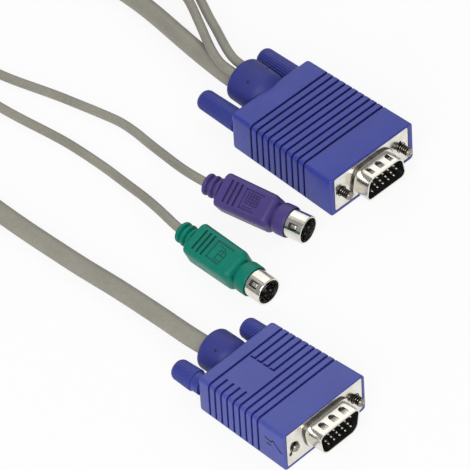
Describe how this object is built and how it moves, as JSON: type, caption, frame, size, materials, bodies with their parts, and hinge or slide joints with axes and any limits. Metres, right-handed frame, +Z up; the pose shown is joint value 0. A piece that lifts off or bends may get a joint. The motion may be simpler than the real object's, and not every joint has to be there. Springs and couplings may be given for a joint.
{
  "type": "kvm cable",
  "caption": "Keyboard, video and mouse cable with D-shell video connectors at both ends and round keyboard and mouse plugs on thin leads.",
  "frame": {"origin": "on the floor below the middle of the first video connector's bounding box (hood, shell and thumbscrews)", "axes": "+X the way the first video connector plugs in, +Z up from the floor it lies on, +Y to its left"},
  "size_m": [0.3387, 0.1287, 0.0167],
  "materials": {
    "blue_plastic": "satin moulded PVC",
    "purple_plastic": "satin moulded PVC",
    "green_plastic": "satin moulded PVC",
    "black_plastic": "moulded",
    "nickel": "bright nickel plate",
    "contact_metal": "plated contact",
    "screw_steel": "dark plated steel",
    "cable_sheath": "matte PVC",
    "tie_band": "soft band"
  },
  "bodies": {
    "cable": {"vga_a_hood": "blue_plastic", "vga_a_shell": "nickel", "vga_a_insulator": "black_plastic", "vga_a_pin_01": "contact_metal", "vga_a_pin_02": "contact_metal", "vga_a_pin_03": "contact_metal", "vga_a_pin_04": "contact_metal", "vga_a_pin_05": "contact_metal", "vga_a_pin_06": "contact_metal", "vga_a_pin_07": "contact_metal", "vga_a_pin_08": "contact_metal", "vga_a_pin_09": "contact_metal", "vga_a_pin_10": "contact_metal", "vga_a_pin_11": "contact_metal", "vga_a_pin_12": "contact_metal", "vga_a_pin_13": "contact_metal", "vga_a_pin_14": "contact_metal", "vga_a_pin_15": "contact_metal", "vga_b_hood": "blue_plastic", "vga_b_shell": "nickel", "vga_b_insulator": "black_plastic", "vga_b_pin_01": "contact_metal", "vga_b_pin_02": "contact_metal", "vga_b_pin_03": "contact_metal", "vga_b_pin_04": "contact_metal", "vga_b_pin_05": "contact_metal", "vga_b_pin_06": "contact_metal", "vga_b_pin_07": "contact_metal", "vga_b_pin_08": "contact_metal", "vga_b_pin_09": "contact_metal", "vga_b_pin_10": "contact_metal", "vga_b_pin_11": "contact_metal", "vga_b_pin_12": "contact_metal", "vga_b_pin_13": "contact_metal", "vga_b_pin_14": "contact_metal", "vga_b_pin_15": "contact_metal", "keyboard_plug_body": "purple_plastic", "keyboard_plug_shell": "nickel", "keyboard_plug_contacts": "black_plastic", "keyboard_plug_key": "black_plastic", "mouse_plug_body": "green_plastic", "mouse_plug_shell": "nickel", "mouse_plug_contacts": "black_plastic", "mouse_plug_key": "black_plastic", "trunk_a": "cable_sheath", "trunk_coil": "cable_sheath", "trunk_b": "cable_sheath", "keyboard_lead": "cable_sheath", "mouse_lead": "cable_sheath", "coil_tie_1": "tie_band", "coil_tie_2": "tie_band"},
    "thumbscrew_a_1": {"vga_a_knob_1": "blue_plastic", "vga_a_screw_1": "screw_steel"},
    "thumbscrew_a_2": {"vga_a_knob_2": "blue_plastic", "vga_a_screw_2": "screw_steel"},
    "thumbscrew_b_1": {"vga_b_knob_1": "blue_plastic", "vga_b_screw_1": "screw_steel"},
    "thumbscrew_b_2": {"vga_b_knob_2": "blue_plastic", "vga_b_screw_2": "screw_steel"}
  },
  "joints": [
    {"name": "thumbscrew_a_1_turn", "type": "hinge", "parent": "cable", "child": "thumbscrew_a_1", "pos_m": [-0.0162, -0.01249, 0.0075], "axis": [1, 0, 0], "continuous": true},
    {"name": "thumbscrew_a_2_turn", "type": "hinge", "parent": "cable", "child": "thumbscrew_a_2", "pos_m": [-0.0162, 0.01249, 0.0075], "axis": [1, 0, 0], "continuous": true},
    {"name": "thumbscrew_b_1_turn", "type": "hinge", "parent": "cable", "child": "thumbscrew_b_1", "pos_m": [0.05372, -0.0957, 0.0073], "axis": [0.9998, 0.022, 0], "continuous": true},
    {"name": "thumbscrew_b_2_turn", "type": "hinge", "parent": "cable", "child": "thumbscrew_b_2", "pos_m": [0.05317, -0.07071, 0.0073], "axis": [0.9998, 0.022, 0], "continuous": true}
  ]
}
